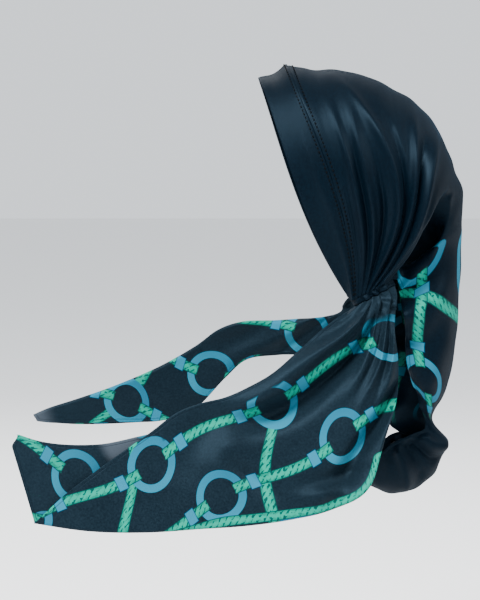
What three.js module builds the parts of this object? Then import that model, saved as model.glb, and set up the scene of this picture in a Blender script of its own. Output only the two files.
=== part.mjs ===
// A pre-tied head scarf in the shape that it has when worn: a hemmed front band and a pleated crown run
// over the head to a stitched gather at each side of the nape, the scarf's back corner hangs down behind
// and ends in a rolled pouch, and a folded tail leaves each gather and lies forward over the shoulder.
// The wearer looks along -X, the wearer's left is -Y, and +Z is up. Everything is in millimetres.
// The origin is where the head carries the scarf: the underside of the cloth at the top of the crown.
import * as THREE from "three";

// Cloth
const CLOTH = 1.2; // wall of the satin
const BAND_WALL = 2.2; // the front band is the cloth folded over on itself
const SEAM_GAP = 0.3; // between two pieces that are sewn together

// Crown and front band
const CROWN_LENGTH = 188; // front edge to the furthest point at the back
const CROWN_FRONT = 71; // how far the front edge lies ahead of the origin
const CROWN_HEIGHT = 200; // top of the crown down to the gathers
const CROWN_WIDTH = 156; // across the widest place
const BAND_WIDTH = 27; // front edge to seam, at the top

// Gathers, where the pleats are stitched together
const GATHER_BACK = 31; // behind the origin
const GATHER_SPAN = 104; // between the two gathers
const GATHER_LENGTH = 40;
const GATHER_DEPTH = 17;
const GATHER_TIE = 5; // thickness of the stitched tie
const GATHER_TILT = 27.5; // degrees, rear end high

// Back corner of the scarf
const FLAP_LENGTH = 208; // peak down to the pinch above the pouch
const FLAP_DEPTH = 85; // gather to the back of the flap
const FLAP_SPREAD = 86; // between its two free edges
const POUCH_LENGTH = 76; // the rolled corner, front to back
const POUCH_HEIGHT = 70;
const POUCH_WIDTH = 52;

// Tails
const LEFT_TAIL = { length: 322, drop: 206, out: 64, gap: 7, belly: 12 };
const RIGHT_TAIL = { length: 318, drop: 130, out: 36, gap: 7, belly: 7 };

// Nape elastic
const ELASTIC_WIDTH = 16;
const ELASTIC_WALL = 1.6;
const ELASTIC_BOW = 22; // how far it passes behind the gathers

// Steps of the faceted surfaces
const HOOP_STEPS = 24; // gather to gather, over the head
const BAND_STEPS = 5; // front edge to seam
const CROWN_STEPS = 4; // for each section of the crown
const FLAP_STEPS = 2; // for each section of the flap and the pouch
const TIE_SIDES = 20;
const FOLD_STEPS = 3; // round half of a tail's folded edge
const FOLD_SHARE = 0.12; // of a layer's steps that the folded edge takes
const ELASTIC_STEPS = 14;

// The crown's sections, front to back: hoops over the head from gather to gather.
// back and down place the hoop's top, as shares of CROWN_LENGTH and CROWN_HEIGHT; turn is where it meets
// the gather, 0 at its front end and 1 at its rear; bow is how far its side bows backwards, as a share
// of CROWN_LENGTH, and wide its width as a share of CROWN_WIDTH. side is how far down the hoop it is
// that wide, 0 at the top and 1 at the gather.
const CROWN_SECTIONS = [
  { name: "front edge", back: 0.0, down: 0.037, turn: 0.02, bow: -0.04, wide: 0.93, side: 0.5 },
  { name: "seam", back: BAND_WIDTH / CROWN_LENGTH, down: -0.012, turn: 0.16, bow: 0.05, wide: 0.97, side: 0.5 },
  { name: "first pleats", back: 0.27, down: 0.0, turn: 0.26, bow: 0.045, wide: 0.99, side: 0.5 },
  { name: "top", back: 0.4, down: 0.003, turn: 0.35, bow: 0.058, wide: 1.0, side: 0.5 },
  { name: "behind the top", back: 0.535, down: 0.034, turn: 0.44, bow: 0.08, wide: 1.0, side: 0.5 },
  { name: "widest", back: 0.655, down: 0.087, turn: 0.53, bow: 0.1, wide: 0.985, side: 0.5 },
  { name: "rear slope", back: 0.77, down: 0.155, turn: 0.62, bow: 0.095, wide: 0.95, side: 0.5 },
  { name: "back of the head", back: 0.855, down: 0.243, turn: 0.71, bow: 0.08, wide: 0.9, side: 0.5 },
  { name: "last pleats", back: 0.915, down: 0.35, turn: 0.79, bow: 0.065, wide: 0.84, side: 0.5 },
  { name: "roll", back: 0.957, down: 0.452, turn: 0.9, bow: 0.045, wide: 0.74, side: 0.55 },
  { name: "peak", back: 1.0, down: 0.562, turn: 1.02, bow: 0.02, wide: 0.5, side: 0.6 },
];

// The flap's sections, going down from the peak: U shapes from free edge to free edge.
// back and down place its middle, and hem_back and hem_down its free edges, as shares of FLAP_DEPTH
// behind the gather and of FLAP_LENGTH below the peak. ahead is how much further forward the right-hand
// edge hangs, as a share of FLAP_DEPTH, and wide is the share of FLAP_SPREAD between the edges.
const FLAP_SECTIONS = [
  { name: "leaving the gather", back: 1.0, down: 0.11, hem_back: 0.275, hem_down: 0.376, ahead: 0, wide: 1.0 },
  { name: "behind the gather", back: 1.0, down: 0.21, hem_back: 0.3, hem_down: 0.425, ahead: 0.04, wide: 0.88 },
  { name: "nape", back: 0.985, down: 0.39, hem_back: 0.32, hem_down: 0.49, ahead: 0.09, wide: 0.96 },
  { name: "upper neck", back: 0.955, down: 0.6, hem_back: 0.36, hem_down: 0.6, ahead: 0.15, wide: 1.0 },
  { name: "neck", back: 0.9, down: 0.78, hem_back: 0.38, hem_down: 0.72, ahead: 0.2, wide: 0.88 },
  { name: "narrowing", back: 0.8, down: 0.91, hem_back: 0.47, hem_down: 0.86, ahead: 0.28, wide: 0.66 },
  { name: "pinch", back: 0.69, down: 1.0, hem_back: 0.58, hem_down: 0.97, ahead: 0.34, wide: 0.38 },
];

const FLAP_SIDE = 0.66; // how far round from its middle the flap is that wide, as a share of half a hoop
const POUCH_SIDE = 0.8;

// The pouch's sections, from the pinch round its outside: shares of POUCH_LENGTH ahead of the pinch,
// of POUCH_HEIGHT below it and of POUCH_WIDTH, and ahead as for the flap.
const POUCH_SECTIONS = [
  { name: "small roll", fore: -0.2, down: 0.3, hem_fore: 0.1, hem_down: 0.1, ahead: 0.22, wide: 0.62 },
  { name: "behind", fore: -0.12, down: 0.52, hem_fore: 0.24, hem_down: 0.16, ahead: 0.1, wide: 0.84 },
  { name: "heel", fore: -0.02, down: 0.75, hem_fore: 0.38, hem_down: 0.22, ahead: 0.03, wide: 0.98 },
  { name: "underside", fore: 0.2, down: 0.93, hem_fore: 0.5, hem_down: 0.28, ahead: 0, wide: 1.0 },
  { name: "front", fore: 0.48, down: 1.0, hem_fore: 0.6, hem_down: 0.38, ahead: 0, wide: 0.9 },
  { name: "corner tip", fore: 0.74, down: 0.9, hem_fore: 0.72, hem_down: 0.5, ahead: 0, wide: 0.62 },
];

// Folds of the crown, the flap and the pouch, the same on both sides. at is the section that a fold
// follows, width its half-width in sections, height its height in mm (below 0 for a valley), and
// from and to where it starts and ends between the top of the hoop (0) and its end (1).
const BODY_FOLDS = [
  { at: 1.0, width: 0.16, height: 1.4, from: -0.3, to: 0.35 },
  { at: 1.75, width: 0.3, height: 1.6, from: 0.35, to: 1.2 },
  { at: 2.5, width: 0.3, height: 2.2, from: 0.3, to: 1.2 },
  { at: 3.5, width: 0.3, height: 2.6, from: 0.28, to: 1.2 },
  { at: 4.25, width: 0.3, height: 3.0, from: 0.22, to: 1.2 },
  { at: 5.25, width: 0.32, height: 3.2, from: 0.2, to: 1.2 },
  { at: 6.25, width: 0.32, height: 3.2, from: 0.18, to: 1.2 },
  { at: 7.25, width: 0.34, height: 3.4, from: 0.15, to: 1.2 },
  { at: 8.75, width: 0.6, height: 5.0, from: 0.1, to: 0.85 },
  { at: 13.2, width: 0.5, height: 4.0, from: 0.35, to: 1.1 },
  { at: 14.3, width: 0.45, height: -4.0, from: 0.4, to: 1.1 },
  { at: 18.6, width: 0.5, height: 3.0, from: 0.2, to: 0.8 },
  { at: 20.2, width: 0.5, height: -2.5, from: 0.2, to: 0.9 },
];
const CREST_RADIUS = 2.2; // no fold turns the cloth more tightly than this
const LOWER_AHEAD = 0.45; // where the flap's right edge hangs further forward it hangs lower by this share
const MITRE = 0.3; // limits how far a slanting cut edge is lengthened
const BOW_LOW = 1.6; // power that keeps a hoop's bow low on its side
const BOW_SCALE = (1 + BOW_LOW) ** (1 + BOW_LOW) / BOW_LOW ** BOW_LOW; // brings its greatest to 1

// The tails' sections, from the gather to the tip. Each is a cloth folded once: top is the outer
// layer's edge, fold the folded edge and back the inner layer's edge, each fore of the gather and down
// from it, as shares of the tail's length and drop.
const LEFT_SECTIONS = [
  { top_fore: 0.052, top_down: 0.03, fold_fore: -0.052, fold_down: -0.03, back_fore: 0.05, back_down: 0.03 },
  { top_fore: 0.1, top_down: 0.1, fold_fore: -0.062, fold_down: 0.15, back_fore: 0.08, back_down: 0.12 },
  { top_fore: 0.15, top_down: 0.16, fold_fore: -0.063, fold_down: 0.34, back_fore: 0.12, back_down: 0.23 },
  { top_fore: 0.21, top_down: 0.24, fold_fore: -0.054, fold_down: 0.51, back_fore: 0.19, back_down: 0.32 },
  { top_fore: 0.28, top_down: 0.33, fold_fore: -0.022, fold_down: 0.68, back_fore: 0.25, back_down: 0.39 },
  { top_fore: 0.35, top_down: 0.39, fold_fore: 0.03, fold_down: 0.83, back_fore: 0.31, back_down: 0.44 },
  { top_fore: 0.41, top_down: 0.43, fold_fore: 0.113, fold_down: 0.905, back_fore: 0.37, back_down: 0.48 },
  { top_fore: 0.475, top_down: 0.455, fold_fore: 0.226, fold_down: 0.943, back_fore: 0.44, back_down: 0.51 },
  { top_fore: 0.543, top_down: 0.496, fold_fore: 0.347, fold_down: 0.967, back_fore: 0.52, back_down: 0.55 },
  { top_fore: 0.613, top_down: 0.577, fold_fore: 0.468, fold_down: 0.98, back_fore: 0.64, back_down: 0.595 },
  { top_fore: 0.716, top_down: 0.689, fold_fore: 0.616, fold_down: 0.995, back_fore: 0.756, back_down: 0.63 },
  { top_fore: 0.83, top_down: 0.82, fold_fore: 0.775, fold_down: 0.99, back_fore: 0.88, back_down: 0.625 },
  { top_fore: 0.905, top_down: 0.925, fold_fore: 0.925, fold_down: 0.955, back_fore: 1.0, back_down: 0.588 },
];
const RIGHT_SECTIONS = [
  { top_fore: -0.06, top_down: -0.054, fold_fore: 0.048, fold_down: 0.09, back_fore: -0.058, back_down: -0.051 },
  { top_fore: -0.06, top_down: 0.085, fold_fore: 0.06, fold_down: 0.146, back_fore: -0.053, back_down: 0.089 },
  { top_fore: -0.028, top_down: 0.262, fold_fore: 0.082, fold_down: 0.196, back_fore: -0.02, back_down: 0.258 },
  { top_fore: 0.041, top_down: 0.415, fold_fore: 0.123, fold_down: 0.231, back_fore: 0.045, back_down: 0.416 },
  { top_fore: 0.142, top_down: 0.508, fold_fore: 0.186, fold_down: 0.246, back_fore: 0.144, back_down: 0.511 },
  { top_fore: 0.248, top_down: 0.523, fold_fore: 0.274, fold_down: 0.262, back_fore: 0.248, back_down: 0.512 },
  { top_fore: 0.349, top_down: 0.554, fold_fore: 0.362, fold_down: 0.269, back_fore: 0.346, back_down: 0.531 },
  { top_fore: 0.415, top_down: 0.692, fold_fore: 0.437, fold_down: 0.331, back_fore: 0.413, back_down: 0.676 },
  { top_fore: 0.5, top_down: 0.908, fold_fore: 0.509, fold_down: 0.462, back_fore: 0.501, back_down: 0.913 },
  { top_fore: 0.601, top_down: 1.015, fold_fore: 0.619, fold_down: 0.615, back_fore: 0.605, back_down: 1.019 },
  { top_fore: 0.736, top_down: 1.046, fold_fore: 0.758, fold_down: 0.762, back_fore: 0.741, back_down: 1.032 },
  { top_fore: 0.852, top_down: 1.054, fold_fore: 0.868, fold_down: 0.858, back_fore: 0.853, back_down: 1.038 },
  { top_fore: 0.94, top_down: 1.042, fold_fore: 0.95, fold_down: 0.923, back_fore: 0.937, back_down: 1.038 },
  { top_fore: 0.991, top_down: 1.027, fold_fore: 1, fold_down: 0.977, back_fore: 0.986, back_down: 1.026 },
];

// Folds of the tails, which fan out from the gather. angle is their direction from it, in degrees down
// from straight ahead, width their half-width in degrees, height their height in mm away from the
// wearer, and until where they end, as a share of the tail's length.
const LEFT_FOLDS = [
  { angle: 40, width: 5, height: 5.0, until: 0.7 },
  { angle: 52, width: 5, height: -5.0, until: 0.6 },
  { angle: 63, width: 5, height: 4.0, until: 0.5 },
  { angle: 75, width: 6, height: -4.0, until: 0.55 },
  { angle: 88, width: 6, height: 3.5, until: 0.6 },
];
const RIGHT_FOLDS = [
  { angle: 22, width: 5, height: 2.5, until: 0.8 },
  { angle: 32, width: 5, height: -2.5, until: 0.8 },
  { angle: 48, width: 7, height: 2.5, until: 0.5 },
];

const QUARTER = Math.PI / 2;
const tilt = THREE.MathUtils.degToRad(GATHER_TILT);
const gatherAlong = new THREE.Vector3(Math.cos(tilt), 0, Math.sin(tilt)); // front end to rear end
const gatherUp = new THREE.Vector3(-Math.sin(tilt), 0, Math.cos(tilt)); // towards the crown's pleats
const LEFT = -1;
const RIGHT = 1;

const smooth = (low, high, value) => THREE.MathUtils.smoothstep(value, low, high);
const mix = THREE.MathUtils.lerp;

// Every named number of a table's rows at a place between two rows, on a smooth curve through them all.
function between(rows, at) {
  const first = Math.min(Math.floor(at), rows.length - 2);
  const t = at - first;
  const before = rows[Math.max(first - 1, 0)];
  const after = rows[Math.min(first + 2, rows.length - 1)];
  const found = {};
  for (const key of Object.keys(rows[first])) {
    if (typeof rows[first][key] !== "number") continue;
    const [a, b, c, d] = [before[key], rows[first][key], rows[first + 1][key], after[key]];
    found[key] = b + 0.5 * t * (c - a + t * (2 * a - 5 * b + 4 * c - d + t * (3 * (b - c) + d - a)));
  }
  return found;
}

// A point on the gather's rim, an oval with straight sides and round ends. turn runs along it from its
// front end (0) round the outside to its rear end (1) and back round the inside (2, or below 0); grow
// widens it, and lift raises it towards the crown.
function gatherRim(side, turn, lift, grow = 0) {
  const radius = GATHER_DEPTH / 2;
  const straight = GATHER_LENGTH - GATHER_DEPTH;
  const wrapped = turn - 2 * Math.round(turn / 2);
  const run = Math.abs(wrapped) * (Math.PI * radius + straight) - (Math.PI * radius + straight) / 2;
  const beyond = Math.max(Math.abs(run) - straight / 2, 0) / radius;
  const along = Math.sign(run) * (Math.min(Math.abs(run), straight / 2) + (radius + grow) * Math.sin(beyond));
  const out = (Math.sign(wrapped) || 1) * (radius + grow) * Math.cos(beyond);
  return new THREE.Vector3(GATHER_BACK, side * (GATHER_SPAN / 2 + out), -CROWN_HEIGHT)
    .addScaledVector(gatherAlong, along)
    .addScaledVector(gatherUp, lift);
}

// The sections of crown, flap and pouch as one list, in millimetres.
const seatedAt = GATHER_TIE / 2 + SEAM_GAP; // cloth ends this far from the middle of the tie
const peak = CROWN_SECTIONS[CROWN_SECTIONS.length - 1];
const peakHeight = CLOTH - peak.down * CROWN_HEIGHT;
const pinch = FLAP_SECTIONS[FLAP_SECTIONS.length - 1];
const pinchBack = GATHER_BACK + pinch.back * FLAP_DEPTH;
const pinchHeight = peakHeight - pinch.down * FLAP_LENGTH;

const crownHoops = CROWN_SECTIONS.map((s) => {
  const end = gatherRim(RIGHT, s.turn, seatedAt);
  return {
    topX: s.back * CROWN_LENGTH - CROWN_FRONT,
    topZ: CLOTH - s.down * CROWN_HEIGHT,
    endX: end.x,
    ahead: 0,
    endY: end.y,
    endZ: end.z,
    bow: s.bow * CROWN_LENGTH,
    halfWidth: (s.wide * CROWN_WIDTH) / 2,
    widest: s.side,
  };
});
const flapHoops = FLAP_SECTIONS.map((s) => ({
  topX: GATHER_BACK + s.back * FLAP_DEPTH,
  topZ: peakHeight - s.down * FLAP_LENGTH,
  endX: GATHER_BACK + s.hem_back * FLAP_DEPTH,
  ahead: s.ahead * FLAP_DEPTH,
  endY: (s.wide * FLAP_SPREAD) / 2,
  endZ: peakHeight - s.hem_down * FLAP_LENGTH,
  bow: 0,
  halfWidth: (s.wide * FLAP_SPREAD) / 2,
  widest: FLAP_SIDE,
}));
const pouchHoops = POUCH_SECTIONS.map((s) => ({
  topX: pinchBack - s.fore * POUCH_LENGTH,
  topZ: pinchHeight - s.down * POUCH_HEIGHT,
  endX: pinchBack - s.hem_fore * POUCH_LENGTH,
  ahead: s.ahead * FLAP_DEPTH,
  endY: (s.wide * POUCH_WIDTH) / 2,
  endZ: pinchHeight - s.hem_down * POUCH_HEIGHT,
  bow: 0,
  halfWidth: (s.wide * POUCH_WIDTH) / 2,
  widest: POUCH_SIDE,
}));
const hoops = [...crownHoops, ...flapHoops, ...pouchHoops];
const LAST_CROWN = CROWN_SECTIONS.length - 1;

// A point of the smooth scarf body: at counts the sections from the front edge, and over runs along a
// hoop from its left end (-1) over the top (0) to its right end (1).
function smoothBody(at, over) {
  const s = between(hoops, at);
  const q = Math.abs(over);
  const w = s.widest;
  const down = q < w ? w * (1 - Math.cos((QUARTER * q) / w)) : q;
  const y =
    q < w
      ? s.halfWidth * Math.sin((QUARTER * q) / w)
      : s.endY + ((s.halfWidth - s.endY) * (1 + Math.cos((Math.PI * (q - w)) / (1 - w)))) / 2;
  const ahead = over > 0 ? s.ahead : 0;
  const [endX, endZ] = [s.endX - ahead, s.endZ - LOWER_AHEAD * ahead];
  const reach = Math.hypot(endX - s.topX, endZ - s.topZ);
  const bow = s.bow * BOW_SCALE * down ** BOW_LOW * (1 - down);
  return new THREE.Vector3(
    mix(s.topX, endX, down) - (bow * (endZ - s.topZ)) / reach,
    Math.sign(over) * y,
    mix(s.topZ, endZ, down) + (bow * (endX - s.topX)) / reach,
  );
}

// How high the folds stand at a place of the scarf body. Where the sections crowd together at the
// gather the folds are narrow, so they are low there.
function bodyFold(at, over) {
  const q = Math.abs(over);
  const step = 0.02;
  const [back, fore] = [Math.max(at - step, 0), Math.min(at + step, lastHoop)];
  const spacing = smoothBody(back, over).distanceTo(smoothBody(fore, over)) / (fore - back);
  return BODY_FOLDS.reduce((sum, f) => {
    const highest = (f.width * spacing) ** 2 / (2 * CREST_RADIUS);
    const height = Math.sign(f.height) * Math.min(Math.abs(f.height), highest);
    const across = Math.exp(-(((at - f.at) / f.width) ** 2));
    const along = smooth(f.from, f.from + 0.3, q) * (1 - smooth(f.to - 0.15, f.to, q));
    return sum + height * across * along;
  }, 0);
}

// A surface's outward normal, from small steps either way.
function normalOf(surface, at, over, lowest, highest) {
  const step = 0.004;
  const [a0, a1] = [Math.max(at - step, lowest), Math.min(at + step, highest)];
  const [o0, o1] = [Math.max(over - step, -1), Math.min(over + step, 1)];
  const along = surface(a1, over).sub(surface(a0, over));
  const across = surface(at, o1).sub(surface(at, o0));
  return along.cross(across).normalize();
}

const lastHoop = hoops.length - 1;
const body = (at, over) =>
  smoothBody(at, over).addScaledVector(
    normalOf(smoothBody, at, over, 0, lastHoop),
    bodyFold(at, over),
  );

// Turns a wall's direction into the gather's plane as far as seated says, so that the cut edge sits
// flat on the tie, and lengthens it so that the wall keeps its thickness.
function seatDirection(normal, seated) {
  const rise = normal.dot(gatherUp);
  return normal.addScaledVector(gatherUp, -seated * rise).divideScalar(Math.max(1 - seated * rise ** 2, MITRE));
}

function bodyNormal(at, over) {
  const seated = at <= LAST_CROWN ? smooth(0.9, 1, Math.abs(over)) : 0;
  return seatDirection(normalOf(body, at, over, 0, lastHoop), seated);
}

// A closed cloth wall: a grid of points on its outer face, with its inner face a wall's thickness in.
function clothWall(rows, columns, point, normal, wall) {
  const position = [];
  for (const depth of [0, wall])
    for (let i = 0; i <= rows; i++)
      for (let j = 0; j <= columns; j++)
        position.push(...point(i, j).addScaledVector(normal(i, j), -depth).toArray());
  const outer = (i, j) => i * (columns + 1) + j;
  const inner = (i, j) => outer(i, j) + (rows + 1) * (columns + 1);
  const index = [];
  const quad = (a, b, c, d) => index.push(a, b, c, a, c, d);
  for (let i = 0; i < rows; i++)
    for (let j = 0; j < columns; j++) {
      quad(outer(i, j), outer(i + 1, j), outer(i + 1, j + 1), outer(i, j + 1));
      quad(inner(i, j), inner(i, j + 1), inner(i + 1, j + 1), inner(i + 1, j));
    }
  for (let i = 0; i < rows; i++) {
    quad(outer(i, 0), inner(i, 0), inner(i + 1, 0), outer(i + 1, 0));
    quad(outer(i, columns), outer(i + 1, columns), inner(i + 1, columns), inner(i, columns));
  }
  for (let j = 0; j < columns; j++) {
    quad(outer(0, j), outer(0, j + 1), inner(0, j + 1), inner(0, j));
    quad(outer(rows, j), inner(rows, j), inner(rows, j + 1), outer(rows, j + 1));
  }
  return solid(position, index);
}

function solid(position, index) {
  const geometry = new THREE.BufferGeometry();
  geometry.setAttribute("position", new THREE.Float32BufferAttribute(position, 3));
  geometry.setIndex(index);
  geometry.computeVertexNormals();
  return geometry;
}

// The front band ends a seam's gap short of the crown, all along the hoop.
function frontBand() {
  const seam = 1;
  const over = (j) => (2 * j) / HOOP_STEPS - 1;
  const place = (i) => (seam * i) / BAND_STEPS;
  const point = (i, j) => {
    const edge = body(place(i), over(j));
    if (i < BAND_STEPS) return edge;
    const inFront = body(place(i) - 0.02, over(j));
    return edge.addScaledVector(inFront.sub(edge).normalize(), SEAM_GAP);
  };
  const normal = (i, j) => bodyNormal(place(i), over(j));
  return clothWall(BAND_STEPS, HOOP_STEPS, point, normal, BAND_WALL);
}

// The crown, the flap and the pouch are one cloth.
function scarfBody() {
  const seam = 1;
  const crownRows = (LAST_CROWN - seam) * CROWN_STEPS;
  const flapRows = (lastHoop - LAST_CROWN) * FLAP_STEPS;
  const over = (j) => (2 * j) / HOOP_STEPS - 1;
  const place = (i) =>
    i <= crownRows ? seam + i / CROWN_STEPS : LAST_CROWN + (i - crownRows) / FLAP_STEPS;
  const point = (i, j) => body(place(i), over(j));
  const normal = (i, j) => bodyNormal(place(i), over(j));
  return clothWall(crownRows + flapRows, HOOP_STEPS, point, normal, CLOTH);
}

// The stitched tie of one gather: a short oval block between the crown's pleats and the tail's.
function gatherTie(side) {
  const position = [];
  const pucker = GATHER_TIE * 0.16;
  const rings = [
    { lift: GATHER_TIE / 2, grow: 0 },
    { lift: 0, grow: pucker },
    { lift: -GATHER_TIE / 2, grow: 0 },
  ];
  for (const ring of rings)
    for (let k = 0; k < TIE_SIDES; k++)
      position.push(...gatherRim(side, (2 * k) / TIE_SIDES, ring.lift, ring.grow).toArray());
  const top = rings.length * TIE_SIDES;
  const middle = new THREE.Vector3(GATHER_BACK, (side * GATHER_SPAN) / 2, -CROWN_HEIGHT);
  position.push(...middle.clone().addScaledVector(gatherUp, GATHER_TIE / 2).toArray());
  position.push(...middle.clone().addScaledVector(gatherUp, -GATHER_TIE / 2).toArray());
  const index = [];
  const face = (a, b, c) => index.push(...(side === RIGHT ? [a, c, b] : [a, b, c]));
  for (let k = 0; k < TIE_SIDES; k++) {
    const next = (k + 1) % TIE_SIDES;
    face(top, k, next);
    face(top + 1, 2 * TIE_SIDES + next, 2 * TIE_SIDES + k);
    for (let r = 0; r < rings.length - 1; r++) {
      const [a, b] = [r * TIE_SIDES + k, r * TIE_SIDES + next];
      face(a, a + TIE_SIDES, b);
      face(b, a + TIE_SIDES, b + TIE_SIDES);
    }
  }
  return solid(position, index);
}

// How far a place of a tail lies out from its gather: the tail spreads over the shoulder, and its
// folds fan out. Both layers lie on this one form, half the tail's gap to either side of it.
function tailLie(size, folds, fore, down) {
  const [ahead, below] = [fore * size.length, down * size.drop];
  const away = Math.hypot(ahead, below);
  const angle = THREE.MathUtils.radToDeg(Math.atan2(below, ahead));
  const spread = size.out * Math.max(0, 0.75 * down + 0.35 * fore);
  const belly = size.belly * Math.sin(Math.PI * Math.min(1, away / size.length));
  const lie = folds.reduce((sum, f) => {
    const narrowest = (THREE.MathUtils.degToRad(f.width) * away) ** 2 / (2 * CREST_RADIUS);
    const height = Math.sign(f.height) * Math.min(Math.abs(f.height), narrowest);
    const end = f.until * size.length;
    return sum + height * Math.exp(-(((angle - f.angle) / f.width) ** 2)) * (1 - smooth(0.5 * end, end, away));
  }, 0);
  return spread + belly + lie;
}

// A tail's surface. along runs from the gather (0) to the tip (1), and across from the outer layer's
// edge (-1) round the folded edge (0) to the inner layer's edge (1).
function tailSurface(size, sections, folds, side, foldInFront) {
  const settle = 0.1; // by here the gather's oval has opened into a fold
  const radius = size.gap / 2;
  const flat = (fore, down) => new THREE.Vector2(fore, down);
  const placed = (at, layer) =>
    new THREE.Vector3(
      GATHER_BACK - at.x * size.length,
      side * (GATHER_SPAN / 2 + tailLie(size, folds, at.x, at.y) + layer),
      -CROWN_HEIGHT - at.y * size.drop,
    );
  // The section is a U: a half circle round the folded edge, and the two layers up from it.
  const opened = (s, across) => {
    const fold = flat(s.fold_fore, s.fold_down);
    const edge = across < 0 ? flat(s.top_fore, s.top_down) : flat(s.back_fore, s.back_down);
    const height = Math.hypot((edge.x - fold.x) * size.length, (edge.y - fold.y) * size.drop);
    const turned = Math.min(Math.abs(across) / FOLD_SHARE, 1);
    const straight = Math.max(Math.abs(across) - FOLD_SHARE, 0) / (1 - FOLD_SHARE);
    const up = radius * (1 - Math.cos(QUARTER * turned)) + (height - radius) * straight;
    const layer = -Math.sign(across) * radius * Math.sin(QUARTER * turned);
    return placed(fold.lerp(edge, up / height), layer);
  };
  return (along, across) => {
    const s = between(sections, along * (sections.length - 1));
    const point = opened(s, across);
    if (along >= settle) return point;
    // Near the gather the section is the gather's own oval, seated on the tie from below.
    const round = 0.94 * Math.abs(across);
    const way = Math.sign(across) || 1;
    const turn = foldInFront ? -way * round : 1 + way * round;
    const travel = opened(s, across).sub(opened(between(sections, 0), across));
    const oval = gatherRim(side, turn, -seatedAt, -CLOTH / 2).add(travel);
    return oval.lerp(point, smooth(0, settle, along));
  };
}

function tail(size, sections, folds, side, foldInFront, rows, layerSteps) {
  const surface = tailSurface(size, sections, folds, side, foldInFront);
  const columns = 2 * (FOLD_STEPS + layerSteps);
  const alongAt = (i) => (i / rows) ** 1.15;
  const acrossAt = (j) => {
    const steps = Math.abs(j - columns / 2);
    const share =
      steps <= FOLD_STEPS
        ? (FOLD_SHARE * steps) / FOLD_STEPS
        : FOLD_SHARE + ((1 - FOLD_SHARE) * (steps - FOLD_STEPS)) / layerSteps;
    return Math.sign(j - columns / 2) * share;
  };
  const outwards = (side === LEFT) !== foldInFront ? 1 : -1;
  const column = outwards === 1 ? (j) => j : (j) => columns - j;
  const normal = (i, j) => {
    const n = normalOf(surface, alongAt(i), acrossAt(column(j)), 0, 1).multiplyScalar(outwards);
    return i === 0 ? seatDirection(n, 1) : n;
  };
  const point = (i, j) => surface(alongAt(i), acrossAt(column(j)));
  return clothWall(rows, columns, point, normal, CLOTH);
}

// The elastic runs round the nape from one tie to the other.
function napeElastic() {
  const clear = 2 * SEAM_GAP + GATHER_TIE * 0.16;
  const reach = GATHER_SPAN / 2 - GATHER_DEPTH / 2 - clear;
  const middle = (t) =>
    new THREE.Vector3(
      GATHER_BACK + ELASTIC_BOW * (1 - t * t),
      reach * t,
      -CROWN_HEIGHT,
    );
  const position = [];
  for (let i = 0; i <= ELASTIC_STEPS; i++) {
    const t = (2 * i) / ELASTIC_STEPS - 1;
    const out = new THREE.Vector3(reach, 2 * ELASTIC_BOW * t, 0).normalize();
    if (Math.abs(t) === 1) out.set(1, 0, 0);
    for (const [sideways, up] of [[1, 1], [-1, 1], [-1, -1], [1, -1]])
      position.push(
        ...middle(t)
          .addScaledVector(out, (sideways * ELASTIC_WALL) / 2)
          .add(new THREE.Vector3(0, 0, (up * ELASTIC_WIDTH) / 2))
          .toArray(),
      );
  }
  const index = [];
  for (let i = 0; i < ELASTIC_STEPS; i++)
    for (let k = 0; k < 4; k++) {
      const [a, b] = [4 * i + k, 4 * i + ((k + 1) % 4)];
      index.push(a, b + 4, b, a, a + 4, b + 4);
    }
  const last = 4 * ELASTIC_STEPS;
  index.push(0, 1, 2, 0, 2, 3, last, last + 2, last + 1, last, last + 3, last + 2);
  return solid(position, index);
}

const satin = (color) => new THREE.MeshStandardMaterial({ color, roughness: 0.55, metalness: 0 });
const plainCloth = satin(0x141f2b);
const printedCloth = satin(0x16222f);
const elasticKnit = new THREE.MeshStandardMaterial({ color: 0x0b0e12, roughness: 0.9, metalness: 0 });

const scarf = new THREE.Group();
function add(name, geometry, material) {
  const mesh = new THREE.Mesh(geometry, material);
  mesh.name = name;
  scarf.add(mesh);
}

add("front_band", frontBand(), plainCloth);
add("crown_and_flap", scarfBody(), plainCloth);
add("left_gather", gatherTie(LEFT), plainCloth);
add("right_gather", gatherTie(RIGHT), plainCloth);
add("left_tail", tail(LEFT_TAIL, LEFT_SECTIONS, LEFT_FOLDS, LEFT, false, 26, 11), printedCloth);
add("right_tail", tail(RIGHT_TAIL, RIGHT_SECTIONS, RIGHT_FOLDS, RIGHT, true, 20, 6), printedCloth);
add("nape_elastic", napeElastic(), elasticKnit);

export default scarf;
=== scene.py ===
import math

import bmesh
import bpy
import numpy as np
from mathutils import Matrix, Vector


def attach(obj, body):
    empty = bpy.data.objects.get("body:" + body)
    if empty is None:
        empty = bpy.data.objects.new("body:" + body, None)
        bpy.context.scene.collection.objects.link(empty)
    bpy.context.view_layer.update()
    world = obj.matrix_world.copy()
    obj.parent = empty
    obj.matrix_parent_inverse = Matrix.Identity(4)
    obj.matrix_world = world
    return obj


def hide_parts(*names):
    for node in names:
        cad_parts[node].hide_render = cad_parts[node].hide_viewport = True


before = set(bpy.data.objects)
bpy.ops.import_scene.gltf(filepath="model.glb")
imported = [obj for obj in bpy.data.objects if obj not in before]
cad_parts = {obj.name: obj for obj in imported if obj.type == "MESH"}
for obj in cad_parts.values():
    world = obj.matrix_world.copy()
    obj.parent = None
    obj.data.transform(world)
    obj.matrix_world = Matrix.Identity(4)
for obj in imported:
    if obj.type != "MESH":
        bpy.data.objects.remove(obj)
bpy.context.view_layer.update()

# Crown and hanging corner: one large piece of satin, pleated into a gather at each side of the
# nape. It runs over the head, and its printed back corner hangs down behind and ends in a rolled
# pouch. Its free edges are narrow hems, and its front edge is sewn into the band.
cloth_wall = 0.0006
crown_length, crown_front, crown_height, crown_width = 0.188, 0.071, 0.2, 0.156
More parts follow.
